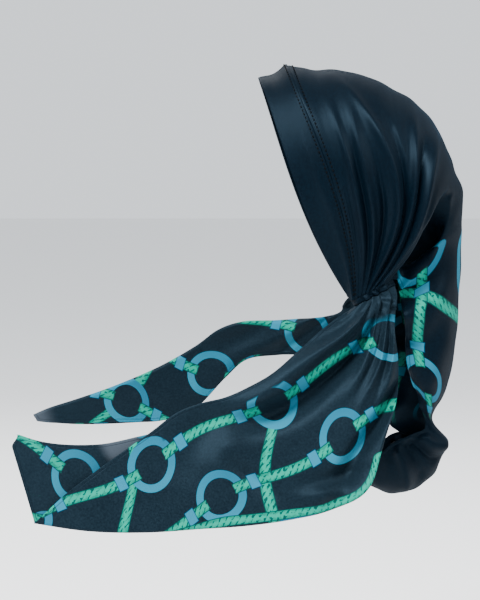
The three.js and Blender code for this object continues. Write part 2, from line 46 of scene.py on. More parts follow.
gather_back, gather_span, gather_length, gather_depth = 0.031, 0.104, 0.04, 0.017
gather_tie, seam_gap, tie_tilt = 0.005, 0.0003, math.radians(27.5)
flap_length, flap_depth, flap_spread = 0.208, 0.085, 0.086
pouch_length, pouch_height, pouch_width = 0.076, 0.07, 0.052
seam_row, peak_row, pouch_row, tip_row = 1, 10, 17, 23
hollow_depth, ruffle_height, slack_height = 0.024, 0.0052, 0.0005

# Each hoop from the front edge to the peak: back, down, its turn round the gather's rim, bow, wide,
# and how far down it is widest. All are shares of the crown's measures.
crown_sections = [
    (0.0, 0.037, 0.02, -0.04, 0.93, 0.5),
    (0.027 / 0.188, -0.012, 0.16, 0.05, 0.97, 0.5),
    (0.27, 0.0, 0.26, 0.045, 0.99, 0.5),
    (0.4, 0.003, 0.35, 0.058, 1.0, 0.5),
    (0.535, 0.034, 0.44, 0.08, 1.0, 0.5),
    (0.655, 0.087, 0.53, 0.1, 0.985, 0.5),
    (0.77, 0.155, 0.62, 0.095, 0.95, 0.5),
    (0.855, 0.243, 0.71, 0.08, 0.9, 0.5),
    (0.915, 0.35, 0.79, 0.065, 0.84, 0.5),
    (0.957, 0.452, 0.9, 0.045, 0.74, 0.55),
    (1.0, 0.562, 1.02, 0.02, 0.5, 0.6),
]
# Each hoop of the hanging corner: back, down, hem back, hem down, the right hem's lead, and wide.
flap_sections = [
    (1.0, 0.11, 0.275, 0.376, 0.0, 1.0),
    (1.0, 0.21, 0.3, 0.425, 0.04, 0.88),
    (0.985, 0.39, 0.32, 0.49, 0.09, 0.96),
    (0.955, 0.6, 0.36, 0.6, 0.15, 1.0),
    (0.9, 0.78, 0.38, 0.72, 0.2, 0.88),
    (0.8, 0.91, 0.47, 0.86, 0.28, 0.66),
    (0.69, 1.0, 0.58, 0.97, 0.34, 0.38),
]
# Each hoop round the pouch: fore, down, hem fore, hem down, the right hem's lead, and wide.
pouch_sections = [
    (-0.2, 0.3, 0.1, 0.1, 0.22, 0.62),
    (-0.12, 0.52, 0.24, 0.16, 0.1, 0.84),
    (-0.02, 0.75, 0.38, 0.22, 0.03, 0.98),
    (0.2, 0.93, 0.5, 0.28, 0.0, 1.0),
    (0.48, 1.0, 0.6, 0.38, 0.0, 0.9),
    (0.74, 0.9, 0.72, 0.5, 0.0, 0.62),
]
# Each fold's rows at 0.3, 0.6 and 0.9 of the way down, half-width in rows, height, start and stop.
crown_folds = [
    (1.0, 1.0, 1.0, 0.16, 0.0014, -0.3, 0.35),
    (1.42, 1.45, 1.5, 0.14, 0.0016, 0.45, 1.2),
    (1.85, 1.95, 1.9, 0.12, -0.0026, 0.45, 1.2),
    (2.2, 2.45, 2.35, 0.19, 0.0038, 0.2, 1.2),
    (2.62, 2.8, 2.75, 0.12, -0.0036, 0.3, 1.2),
    (3.0, 3.14, 3.15, 0.18, 0.0042, 0.22, 1.2),
    (3.38, 3.72, 3.6, 0.15, -0.0042, 0.28, 1.2),
    (3.75, 4.55, 4.1, 0.24, 0.0058, 0.12, 1.2),
    (4.5, 5.0, 4.55, 0.17, -0.0052, 0.22, 1.2),
    (5.7, 5.42, 5.0, 0.25, 0.0046, 0.1, 1.2),
    (6.3, 5.86, 5.5, 0.16, -0.0052, 0.2, 1.2),
    (6.95, 6.45, 6.1, 0.4, 0.0072, 0.06, 1.2),
    (13.0, 13.3, 13.6, 0.5, 0.004, 0.3, 1.1),
    (14.0, 14.3, 14.6, 0.4, -0.0044, 0.3, 1.1),
    (15.2, 15.4, 15.6, 0.4, 0.0034, 0.3, 1.1),
    (18.4, 18.6, 18.8, 0.45, 0.0052, 0.1, 0.9),
    (19.2, 19.4, 19.6, 0.26, -0.0042, 0.1, 0.95),
    (20.4, 20.2, 19.9, 0.35, -0.0046, 0.1, 0.95),
    (21.3, 21.1, 20.8, 0.3, 0.0036, 0.05, 0.95),
]
crest_radius = 0.0006


def through_rows(rows, at):
    """Every column of a table at places between its rows, on a smooth curve through them all."""
    rows = np.asarray(rows, float)
    at = np.asarray(at, float)
    first = np.clip(np.floor(at).astype(int), 0, len(rows) - 2)
    t = (at - first)[..., None]
    a, b = rows[np.maximum(first - 1, 0)], rows[first]
    c, d = rows[first + 1], rows[np.minimum(first + 2, len(rows) - 1)]
    return b + 0.5 * t * (c - a + t * (2 * a - 5 * b + 4 * c - d + t * (3 * (b - c) + d - a)))


def ease(low, high, value):
    """0 below low, 1 above high, and a smooth rise between them."""
    t = np.clip((value - low) / (high - low), 0, 1)
    return t * t * (3 - 2 * t)


def gather_rim(side, turn, lift, grow=0.0):
    """Points on a gather's oval rim, from its front end (0) round the outside to the rear (1)."""
    turn = np.asarray(turn, float)
    radius, straight = gather_depth / 2, gather_length - gather_depth
    wrapped = turn - 2 * np.round(turn / 2)
    run = np.abs(wrapped) * (math.pi * radius + straight) - (math.pi * radius + straight) / 2
    beyond = np.maximum(np.abs(run) - straight / 2, 0) / radius
    along = np.minimum(np.abs(run), straight / 2) + (radius + grow) * np.sin(beyond)
    along = np.sign(run) * along
    out = np.where(wrapped < 0, -1.0, 1.0) * (radius + grow) * np.cos(beyond)
    x = gather_back + along * math.cos(tie_tilt) - lift * math.sin(tie_tilt)
    z = -crown_height + along * math.sin(tie_tilt) + lift * math.cos(tie_tilt)
    return np.stack([x, side * (gather_span / 2 + out), z], -1)


seated_at = gather_tie / 2 + seam_gap
top_of_crown = 0.0012
peak_height = top_of_crown - crown_sections[-1][1] * crown_height
pinch_back = gather_back + flap_sections[-1][0] * flap_depth
pinch_height = peak_height - flap_length

# Top x, top z, end x, end z, ahead, end y, bow, half-width and widest of every hoop.
flap_widest, pouch_widest = 0.66, 0.8
hoops = []
for back, down, turn, bow, wide, side in crown_sections:
    end = gather_rim(1, turn, seated_at)
    top = (back * crown_length - crown_front, top_of_crown - down * crown_height)
    bow, half = bow * crown_length, wide * crown_width / 2
    hoops.append((*top, end[0], end[2], 0, end[1], bow, half, side))
for back, down, hem_back, hem_down, ahead, wide in flap_sections:
    top = (gather_back + back * flap_depth, peak_height - down * flap_length)
    end = (gather_back + hem_back * flap_depth, peak_height - hem_down * flap_length)
    half = wide * flap_spread / 2
    hoops.append((*top, *end, ahead * flap_depth, half, 0, half, flap_widest))
for fore, down, hem_fore, hem_down, ahead, wide in pouch_sections:
    top = (pinch_back - fore * pouch_length, pinch_height - down * pouch_height)
    end = (pinch_back - hem_fore * pouch_length, pinch_height - hem_down * pouch_height)
    half = wide * pouch_width / 2
    hoops.append((*top, *end, ahead * flap_depth, half, 0, half, pouch_widest))


def smooth_scarf(at, over):
    """The scarf before its folds: at counts the hoops, over runs from left (-1) to right (1)."""
    s = through_rows(hoops, at)
    top_x, top_z, end_x, end_z, ahead, end_y, bow, half_width, widest = np.moveaxis(s, -1, 0)
    q = np.abs(over)
    quarter = np.minimum(q / widest, 1) * math.pi / 2
    down = np.where(q < widest, widest * (1 - np.cos(quarter)), q)
    inward = (1 + np.cos(math.pi * np.clip((q - widest) / (1 - widest), 0, 1))) / 2
    y = np.where(q < widest, half_width * np.sin(quarter), end_y + (half_width - end_y) * inward)
    ahead = np.where(over > 0, ahead, 0)
    lower_share, low_bow = 0.45, 1.6
    end_x, end_z = end_x - ahead, end_z - lower_share * ahead
    reach = np.hypot(end_x - top_x, end_z - top_z)
    bow = bow * (low_bow + 1) ** (low_bow + 1) / low_bow**low_bow * down**low_bow * (1 - down)
    x = top_x + (end_x - top_x) * down - bow * (end_z - top_z) / reach
    z = top_z + (end_z - top_z) * down + bow * (end_x - top_x) / reach
    return np.stack([x, np.sign(over) * y, z], -1)


def outward(surface, at, over, last):
    """A surface's outward normals, from small steps either way."""
    step = 0.004
    along = surface(np.minimum(at + step, last), over) - surface(np.maximum(at - step, 0), over)
    across = surface(at, np.minimum(over + step, 1)) - surface(at, np.maximum(over - step, -1))
    normal = np.cross(along, across)
    return normal / np.linalg.norm(normal, axis=-1, keepdims=True)


def scarf(at, over):
    """The scarf's outer face with its pleats and folds, a little different on the two sides."""
    q = np.abs(over)
    wander = np.where(over > 0, 0.1 * np.sin(2.1 * at + 1), 0) + 0.07 * np.sin(7 * q + 1.7 * at)
    wander = wander * (1 - ease(0.8, 1, q)) * ease(1.1, 1.7, at)
    step = 0.02
    back, fore = np.maximum(at - step, 0), np.minimum(at + step, tip_row)
    apart = np.linalg.norm(smooth_scarf(fore, over) - smooth_scarf(back, over), axis=-1)
    apart = apart / (fore - back)
    height = np.zeros_like(q)
    for high, middle, low, width, tall, start, stop in crown_folds:
        most = (width * apart) ** 2 / (2 * crest_radius)
        stands = math.copysign(1, tall) * np.minimum(abs(tall), most)
        t = np.clip((q - 0.3) / 0.6, -0.3, 1.17)
        row = high + t * (4 * middle - 3 * high - low) + 2 * t * t * (high - 2 * middle + low)
        shape = np.exp(-(((at + wander - row) / width) ** 2))
        height += stands * shape * ease(start, start + 0.3, q) * (1 - ease(stop - 0.15, stop, q))
    # The deep hollow behind the last pleat, the ruffles of the free hem, and a little slack.
    hollow_from = 8.75 - 5.5 * np.clip(q - 0.3, 0, 0.3)
    hollow_to = 9.5 + 7.5 * np.clip(q - 0.3, 0, 0.28)
    t = (at - hollow_from) / (hollow_to - hollow_from)
    most = ((hollow_to - hollow_from) / 2 * apart) ** 2 / (2 * crest_radius)
    deep = np.minimum(hollow_depth, most)
    hollow = ease(0, 0.66, t) * (1 - ease(0.72, 1, t))
    height -= deep * hollow * ease(0.24, 0.46, q) * (1 - ease(0.84, 0.99, q))
    ruffle = np.sin(2 * math.pi * (at - 11.2) / 1.75) + 0.4 * np.sin(2 * math.pi * at / 0.83 + 1)
    on_hem = ease(0.6, 1, q) * ease(11, 12, at) * (1 - ease(16.2, pouch_row, at))
    height += ruffle_height * ruffle * on_hem
    slack = slack_height * np.sin(5.3 * at + 3 * q) * np.sin(9 * q + 0.8 * at) * ease(1.2, 2, at)
    height += slack * np.minimum(apart / 0.02, 1)
    normal = outward(smooth_scarf, at, over, tip_row)
    return smooth_scarf(at, over) + normal * height[..., None]


def grid_quads(rows, columns):
    """The corners of a grid's quads, as numbers of its points."""
    index = np.arange(rows * columns).reshape(rows, columns)
    corners = [index[:-1, :-1], index[1:, :-1], index[1:, 1:], index[:-1, 1:]]
    return np.stack(corners, -1).reshape(-1, 4)


def add_object(name, data):
    """A new object in the scene, of a mesh, a camera or a lamp."""
    piece = bpy.data.objects.new(name, data)
    bpy.context.collection.objects.link(piece)
    return piece


def cloth_grid(name, points, uv, facts):
    """A mesh from a grid of points, with uv in metres and named numbers for its material."""
    rows, columns = points.shape[:2]
    quads = grid_quads(rows, columns)
    mesh = bpy.data.meshes.new(name)
    mesh.from_pydata(points.reshape(-1, 3).tolist(), [], quads.tolist())
    layer = mesh.uv_layers.new(name="cloth")
    if uv.ndim == 3:
        flat = uv.reshape(-1, 2)[quads.reshape(-1)]
    else:
        flat = uv.reshape(-1, 2)
    layer.data.foreach_set("uv", flat.astype(np.float32).ravel())
    for key, values in facts.items():
        fact = mesh.attributes.new(key, "FLOAT", "POINT")
        values = np.broadcast_to(values, (rows, columns)).astype(np.float32)
        fact.data.foreach_set("value", values.ravel())
    mesh.polygons.foreach_set("use_smooth", [True] * len(mesh.polygons))
    return add_object(name, mesh)


def apply_modifiers(piece):
    """Applies a piece's modifiers, in their order."""
    bpy.ops.object.select_all(action="DESELECT")
    bpy.context.view_layer.objects.active = piece
    piece.select_set(True)
    for modifier in list(piece.modifiers):
        bpy.ops.object.modifier_apply(modifier=modifier.name)
    piece.select_set(False)


def give_wall(piece, wall, face_satin, inner_satin):
    """Gives a cloth its thickness inwards, with a satin for its face and one for its wrong side."""
    piece.data.materials.append(face_satin)
    piece.data.materials.append(inner_satin)
    solidify = piece.modifiers.new("wall", "SOLIDIFY")
    solidify.material_offset = 1
    solidify.thickness = wall
    solidify.offset = -1
    solidify.use_even_offset = False
    apply_modifiers(piece)


def finish_closed(mesh, material):
    """Turns a closed mesh's faces outwards, makes them smooth and gives them their material."""
    outwards = bmesh.new()
    outwards.from_mesh(mesh)
    bmesh.ops.recalc_face_normals(outwards, faces=outwards.faces)
    outwards.to_mesh(mesh)
    outwards.free()
    mesh.polygons.foreach_set("use_smooth", [True] * len(mesh.polygons))
    mesh.materials.append(material)


def run_along(points):
    """How far each point of a grid is along its column, in metres."""
    steps = np.linalg.norm(np.diff(points, axis=0), axis=-1)
    return np.concatenate([np.zeros((1, points.shape[1])), np.cumsum(steps, axis=0)])


def new_material(name):
    """A new material and its shader."""
    material = bpy.data.materials.new(name)
    material.use_nodes = True
    return material, material.node_tree.nodes["Principled BSDF"]


def reckon(tree, operation, *values):
    """One Math node: each value is a number or another node's output."""
    node = tree.nodes.new("ShaderNodeMath")
    node.operation = operation
    for socket, value in zip(node.inputs, values):
        if isinstance(value, bpy.types.NodeSocket):
            tree.links.new(value, socket)
        else:
            socket.default_value = value
    return node.outputs[0]


def within(tree, distance, edge, soft=0.35):
    """1 where a distance is below edge, with a soft rim."""
    node = tree.nodes.new("ShaderNodeMapRange")
    node.interpolation_type = "SMOOTHSTEP"
    tree.links.new(distance, node.inputs["Value"])
    node.inputs["From Min"].default_value = edge + soft
    node.inputs["From Max"].default_value = edge - soft
    return node.outputs["Result"]


def blend(tree, share, under, over):
    """Colour over on colour under, by share. A colour is a tuple or another node's output."""
    node = tree.nodes.new("ShaderNodeMix")
    node.data_type = "RGBA"
    for socket, value in ((node.inputs[0], share), (node.inputs[6], under), (node.inputs[7], over)):
        if isinstance(value, bpy.types.NodeSocket):
            tree.links.new(value, socket)
        elif isinstance(value, tuple):
            socket.default_value = (*value, 1)
        else:
            socket.default_value = value
    return node.outputs[2]


def rope_print(tree, u, v, ground):
    """Ropes through rings, with a strap at each side of a ring. u runs across the ropes, in mm."""
    pale, mid, deep = (0.0, 0.185, 0.126), (0.0, 0.12, 0.08), (0.0002, 0.022, 0.02)
    blue, sky, strap_outline = (0.005, 0.078, 0.128), (0.009, 0.112, 0.172), (0.001, 0.02, 0.045)
    rope_apart, rope_half, body_half, one_twist, rope_sway = 58.0, 4.9, 4.2, 6.2, 5.0
    ring_apart, ring_radius, ring_half, ring_shift = 118.0, 19.0, 3.4, 38.0
    ring_outside, ring_inside = 18.6, 13.5
    cross_apart, cross_start, cross_slope, cross_sway, cross_thin = 141.0, 70.0, 0.5, 6.0, 0.89
    strap_out, strap_half, strap_wider, outline_half = 31.0, 4.0, 2.0, 4.6
    border_in = 9.0

    def calc(operation, *values):
        return reckon(tree, operation, *values)

    sway = calc("SINE", calc("MULTIPLY", v, 0.043))
    u = calc("ADD", u, calc("MULTIPLY", sway, rope_sway))
    column = calc("FLOOR", calc("ADD", calc("DIVIDE", u, rope_apart), 0.5))
    x = calc("SUBTRACT", u, calc("MULTIPLY", column, rope_apart))
    shift = calc("MULTIPLY", calc("SINE", calc("MULTIPLY", column, 2.3)), ring_shift)
    y = calc("SUBTRACT", calc("WRAP", calc("ADD", v, shift), ring_apart, 0.0), ring_apart / 2)
    slant = calc("ADD", v, calc("MULTIPLY", u, cross_slope))
    sway = calc("SINE", calc("MULTIPLY", u, 0.05))
    slant = calc("ADD", slant, calc("MULTIPLY", sway, cross_sway))
    level = calc("SUBTRACT", calc("WRAP", slant, cross_apart, 0.0), cross_start)
    level = calc("MULTIPLY", level, cross_thin)
    from_middle = calc("SQRT", calc("ADD", calc("MULTIPLY", x, x), calc("MULTIPLY", y, y)))
    inwards = calc("MULTIPLY", from_middle, -1.0)
    smudge = tree.nodes.new("ShaderNodeTexNoise")
    smudge.inputs["Scale"].default_value = 260.0
    smudge.inputs["Detail"].default_value = 1.0
    where = tree.nodes.new("ShaderNodeUVMap")
    where.uv_map = "cloth"
    tree.links.new(where.outputs[0], smudge.inputs["Vector"])
    uneven = calc("SUBTRACT", smudge.outputs["Fac"], 0.5)

    def rope(colour, off, run, share):
        """A laid rope: dark outlines, a light body and slanting, uneven strokes."""
        turns = calc("DIVIDE", calc("ADD", run, calc("MULTIPLY", off, 1.1)), one_twist)
        turns = calc("ADD", turns, calc("MULTIPLY", uneven, 1.1))
        stroke = calc("ABSOLUTE", calc("SUBTRACT", calc("FRACT", turns), 0.5))
        stroke = calc("ADD", stroke, calc("MULTIPLY", uneven, 0.9))
        off = calc("ABSOLUTE", off)
        off_centre = calc("MULTIPLY", within(tree, calc("MULTIPLY", off, -1.0), -0.6, 0.8), 0.9)
        lit = within(tree, calc("ADD", off, calc("MULTIPLY", uneven, 6.0)), 2.6, 1.2)
        body = blend(tree, lit, mid, pale)
        dark = calc("MULTIPLY", within(tree, stroke, 0.12, 0.06), off_centre)
        body = blend(tree, dark, body, deep)
        body = blend(tree, within(tree, off, body_half, 0.35), deep, body)
        return blend(tree, calc("MULTIPLY", within(tree, off, rope_half), share), colour, body)

    colour = rope(ground, level, u, within(tree, inwards, -ring_outside, 0.8))
    ring = calc("ABSOLUTE", calc("SUBTRACT", from_middle, ring_radius))
    lit = calc("ADD", calc("DIVIDE", calc("SUBTRACT", y, x), 60.0), 0.5)
    ring_body = blend(tree, lit, blue, sky)
    colour = blend(tree, within(tree, ring, ring_half), colour, ring_body)
    colour = rope(colour, x, y, within(tree, inwards, -ring_inside, 0.8))
    strap_run = calc("ABSOLUTE", calc("SUBTRACT", calc("ABSOLUTE", y), strap_out))
    strap = calc("MAXIMUM", calc("SUBTRACT", calc("ABSOLUTE", x), strap_wider), strap_run)
    colour = blend(tree, within(tree, strap, outline_half), colour, strap_outline)
    colour = blend(tree, within(tree, strap, strap_half), colour, sky)
    border, run = tree.nodes.new("ShaderNodeAttribute"), tree.nodes.new("ShaderNodeAttribute")
    border.attribute_name, run.attribute_name = "from_border", "border_run"
    from_border = calc("SUBTRACT", calc("MULTIPLY", border.outputs["Fac"], 1000.0), border_in)
    return rope(colour, from_border, calc("MULTIPLY", run.outputs["Fac"], 1000.0), 1.0)


def satin(name, print_strength, ground):
    """Midnight satin: a smooth weave with a soft sheen, rolled hems and, in places, a print."""
    # The paler colour is painted light: it stands in for light showing through a single layer of
    # satin, and for its sheen.
    painted_sheen_colour, hem_thread = (0.03, 0.038, 0.048), (0.002, 0.004, 0.007)
    least_dull, dull_at_edge, dull_spots = 0.36, 0.6, 0.08
    hem_width, hem_stitch_in, hem_stitch_half = 2.6, 3.0, 0.35
    material, shader = new_material(name)
    tree = material.node_tree
    place = tree.nodes.new("ShaderNodeTexCoord").outputs["Object"]

    def calc(operation, *values):
        return reckon(tree, operation, *values)

    def noise(scale, detail):
        node = tree.nodes.new("ShaderNodeTexNoise")
        node.inputs["Scale"].default_value = scale
        node.inputs["Detail"].default_value = detail
        tree.links.new(place, node.inputs["Vector"])
        return node.outputs["Fac"]

    def fact(key):
        node = tree.nodes.new("ShaderNodeAttribute")
        node.attribute_name = key
        return node.outputs["Fac"]

    facing = tree.nodes.new("ShaderNodeLayerWeight").outputs["Facing"]
    dull = calc("ADD", least_dull, calc("MULTIPLY", calc("POWER", facing, 2.5), dull_at_edge))
    dull = calc("ADD", dull, calc("MULTIPLY", noise(45.0, 2.0), dull_spots))
    tree.links.new(dull, shader.inputs["Roughness"])
    shader.inputs["Specular IOR Level"].default_value = 0.06
    shader.inputs["Specular Tint"].default_value = (0.42, 0.72, 1.0, 1)
    shader.inputs["Sheen Weight"].default_value = 0.02
    shader.inputs["Sheen Roughness"].default_value = 0.35
    shader.inputs["Sheen Tint"].default_value = (0.2, 0.55, 1.0, 1)
    flat = tree.nodes.new("ShaderNodeUVMap")
    flat.uv_map = "cloth"
    split = tree.nodes.new("ShaderNodeSeparateXYZ")
    tree.links.new(flat.outputs[0], split.inputs[0])
    u, v = (calc("MULTIPLY", split.outputs[k], 1000.0) for k in range(2))
    mottle = calc("MULTIPLY", calc("SUBTRACT", noise(620.0, 2.0), 0.5), 2.4)
    mottle = calc("ADD", calc("MULTIPLY", noise(28.0, 3.0), 0.8), mottle)
    colour = blend(tree, mottle, *ground)
    if print_strength:
        # Painted light: where the cloth is a single layer, a paler colour stands in for light
        # showing through it and for its sheen.
        colour = blend(tree, fact("painted_sheen"), colour, painted_sheen_colour)
        inked = rope_print(tree, u, v, colour)
        colour = blend(tree, calc("MULTIPLY", fact("printed"), print_strength), colour, inked)
    from_hem = calc("MULTIPLY", fact("from_hem"), 1000.0)
    rolled = within(tree, from_hem, hem_width, 0.3)
    from_stitches = calc("ABSOLUTE", calc("SUBTRACT", from_hem, hem_stitch_in))
    stitch_line = within(tree, from_stitches, hem_stitch_half, 0.2)
    colour = blend(tree, calc("MULTIPLY", stitch_line, 0.5), colour, hem_thread)
    tree.links.new(colour, shader.inputs["Base Color"])
    diagonal = calc("ADD", u, calc("MULTIPLY", v, 0.5))
    over_under = calc("SINE", calc("MULTIPLY", diagonal, 9.0))
    threads = calc("SINE", calc("MULTIPLY", v, 14.0))
    weave = calc("MULTIPLY", calc("ADD", over_under, threads), 0.12)
    relief = calc("ADD", weave, calc("MULTIPLY", noise(140.0, 4.0), 0.8))
    relief = calc("ADD", relief, calc("MULTIPLY", rolled, 1.4))
    relief = calc("SUBTRACT", relief, calc("MULTIPLY", stitch_line, 1.2))
    bump = tree.nodes.new("ShaderNodeBump")
    bump.inputs["Strength"].default_value = 0.35
    bump.inputs["Distance"].default_value = 0.0004
    tree.links.new(relief, bump.inputs["Height"])
    tree.links.new(bump.outputs[0], shader.inputs["Normal"])
    return material


dark_ground = ((0.0004, 0.0016, 0.0034), (0.0009, 0.0034, 0.0066))
print_ground = ((0.0022, 0.0052, 0.0082), (0.0048, 0.0102, 0.0150))
plain_satin = satin("plain satin", 0.0, dark_ground)
crown_satin = satin("crown satin", 1.0, dark_ground)
printed_satin = satin("printed satin", 1.0, print_ground)
wrong_side = satin("crown satin wrong side", 0.3, dark_ground)
print_wrong_side = satin("printed satin wrong side", 0.85, print_ground)

tucked_row, tuck_depth = 0.96, 0.0007
no_hem = 0.05
crown_rows = np.concatenate([
    np.linspace(tucked_row, seam_row, 4, endpoint=False),
    np.linspace(seam_row, peak_row, 190, endpoint=False),
    np.linspace(peak_row, tip_row, 111),
])
closer_at_ends = 0.55 * math.pi / 2
across = np.sin(np.linspace(-1, 1, 151) * closer_at_ends) / math.sin(closer_at_ends)
row_at, row_over = np.meshgrid(crown_rows, across, indexing="ij")
tucked = tuck_depth * (1 - ease(0.97, 1.02, row_at))
crown_points = scarf(row_at, row_over)
crown_points = crown_points - outward(smooth_scarf, row_at, row_over, tip_row) * tucked[..., None]
from_left = run_along(np.swapaxes(crown_points, 0, 1)).T
hanging_column, corner_row = 30, peak_row + 0.6
down_back = run_along(crown_points)[:, hanging_column][:, None] + 0 * row_over
round_edge = np.minimum(from_left, from_left[:, -1:] - from_left)
free_edge = np.where(row_at > corner_row, round_edge, no_hem)
from_tip = run_along(crown_points[::-1])[::-1]
free_edge = np.minimum(free_edge, np.where(row_at > tip_row - 2, from_tip, no_hem))
crown_printed = ease(corner_row, corner_row + 0.6, row_at)
crown_printed = crown_printed * (1 - ease(pouch_row - 0.6, pouch_row + 0.2, row_at))
printed_round, print_from_side, print_from_front = 0.146, 0.015, 0.06
print_u = printed_round * from_left / from_left[:, -1:] - print_from_side
crown = cloth_grid(
    "crown_cloth",
    crown_points,
    np.stack([print_u, print_from_front - down_back], -1),
    {"from_hem": free_edge, "printed": crown_printed, "painted_sheen": 0.0},
)
give_wall(crown, cloth_wall, crown_satin, wrong_side)
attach(crown, "root")
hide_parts("crown_and_flap")

# Front band: a strip of the same satin folded double along the hairline. Its fold is the scarf's
# front edge, and its two raw edges are sewn to the crown with two rows of dark stitches.
band_wall = 0.0019
full_height, pull_height, ripple_height, crease_height = 0.0006, 0.0004, 0.0003, 0.0012
dip_height, dip_rim = 0.0026, 0.0014
band_rows, band_columns = np.linspace(0.0, 0.985, 30), np.linspace(-1, 1, 241)
band_at, band_over = np.meshgrid(band_rows, band_columns, indexing="ij")


def band_face(at, over):
    """The band's outer face, a little fuller between its fold and its seam."""
    q = np.abs(over)
    full = full_height * np.sin(math.pi * np.clip(at, 0, 1)) ** 0.7
    pulled = pull_height * np.sin(34 * over + 5 * at) * ease(0.45, 0.98, at) * ease(0.2, 0.6, q)
    creased = ripple_height * np.sin(9 * at + 2 * q) * ease(0.1, 0.5, q)
    crease_line = 0.52 + 0.25 * q
    crease = crease_height * np.exp(-(((at - crease_line) / 0.09) ** 2))
    creased = creased + crease * ease(0.3, 0.5, q)
    dip = dip_height * np.exp(-(((at - 0.5) / 0.26) ** 2))
    dip = dip - dip_rim * np.exp(-(((at - 0.93) / 0.14) ** 2))
    on_top = 1 - ease(0.08, 0.34, q)
    creased = creased - dip * on_top
    normal = outward(smooth_scarf, at, over, tip_row)
    return scarf(at, over) + normal * (full + pulled + creased)[..., None]


band_points = band_face(band_at, band_over)
band = cloth_grid(
    "band_cloth",
    band_points,
    np.stack([run_along(np.swapaxes(band_points, 0, 1)).T, run_along(band_points)], -1),
    {"from_hem": no_hem},
)
solidify = band.modifiers.new("double cloth", "SOLIDIFY")
solidify.thickness = band_wall
solidify.offset = -1
rounding = band.modifiers.new("fold", "BEVEL")
rounding.width = 0.0008
rounding.segments = 3
rounding.limit_method = "ANGLE"
rounding.angle_limit = math.radians(50)
apply_modifiers(band)
band.data.materials.append(plain_satin)
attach(band, "root")
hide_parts("front_band")

# Stitches of the band's seam: polyester thread, darker than the cloth, in one row on the band
# beside the seam and one on the crown. Each is a short bead that dips into the cloth at both ends.
stitch_long, stitch_thick, stitch_every, stitch_lift = 0.0025, 0.0013, 0.0038, 0.0003
band_row, crown_row = 0.9, 1.17
thread, thread_shader = new_material("seam thread")
thread_tree = thread.node_tree
thread_shader.inputs["Roughness"].default_value = 0.7
thread_shader.inputs["Specular IOR Level"].default_value = 0.05
thread_place = thread_tree.nodes.new("ShaderNodeTexCoord")
thread_plies = thread_tree.nodes.new("ShaderNodeTexWave")
thread_plies.inputs["Scale"].default_value = 900.0
thread_tree.links.new(thread_place.outputs["Object"], thread_plies.inputs["Vector"])
dark_ply, light_ply = (0.0002, 0.0003, 0.0005), (0.0008, 0.0012, 0.0018)
thread_colour = blend(thread_tree, thread_plies.outputs["Fac"], dark_ply, light_ply)
thread_tree.links.new(thread_colour, thread_shader.inputs["Base Color"])
bpy.ops.object.select_all(action="DESELECT")
bpy.ops.mesh.primitive_uv_sphere_add(segments=8, ring_count=6, radius=0.5)
one_stitch = bpy.context.active_object
bpy.ops.object.mode_set(mode="EDIT")
bpy.ops.transform.resize(value=(stitch_long, stitch_thick, stitch_thick))
bpy.ops.object.mode_set(mode="OBJECT")
stitch_mesh = bmesh.new()
for row, face in ((band_row, band_face), (crown_row, scarf)):
    line_over = np.linspace(-0.985, 0.985, 1200)
    line = face(np.full_like(line_over, row), line_over)
    sewn = np.concatenate([[0], np.cumsum(np.linalg.norm(np.diff(line, axis=0), axis=1))])
    facing = outward(smooth_scarf, np.full_like(line_over, row), line_over, tip_row)
    for start in np.arange(0, sewn[-1] - stitch_every, stitch_every):
        here, there = (
            np.array([np.interp(s, sewn, line[:, k]) for k in range(3)])
            for s in (start, start + stitch_long)
        )
        up = Vector([np.interp(start, sewn, facing[:, k]) for k in range(3)]).normalized()
        ahead = Vector(there - here).normalized()
        aside = up.cross(ahead).normalized()
        turn = Matrix((ahead, aside, ahead.cross(aside))).transposed().to_4x4()
        middle = Matrix.Translation(Vector((here + there) / 2) + up * stitch_lift)
        copy = one_stitch.data.copy()
        copy.transform(middle @ turn)
        stitch_mesh.from_mesh(copy)
        bpy.data.meshes.remove(copy)
seam_data = bpy.data.meshes.new("seam_stitches")
stitch_mesh.to_mesh(seam_data)
stitch_mesh.free()
bpy.data.objects.remove(one_stitch, do_unlink=True)
seam_data.polygons.foreach_set("use_smooth", [True] * len(seam_data.polygons))
seam_data.materials.append(thread)
seam_stitches = add_object("seam_stitches", seam_data)
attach(seam_stitches, "root")

# Gathers: an oval tie of puckered satin at each side of the nape, where the crown's pleats and a
# tail's pleats are stitched together. Its upper rim stands inside the crown's pleats.
tie_grow, tie_deep, edge_inside, tie_raised = 0.0019, 0.0002, 0.0003, 0.0012
tie_middle, tie_half = 0.00045, 0.00255
pleats_round, pleated_share = 9.5, 0.94


def puckers(across, along):
    """The narrow pleats at a gather, from -1 in their valleys to 1 on their crests."""
    uneven = 0.8 * np.sin(7 * across + 30 * along)
    wave = np.sin(math.pi * pleats_round * np.abs(across) + uneven)
    return wave * (1 - ease(0.9, 1, np.abs(across)))


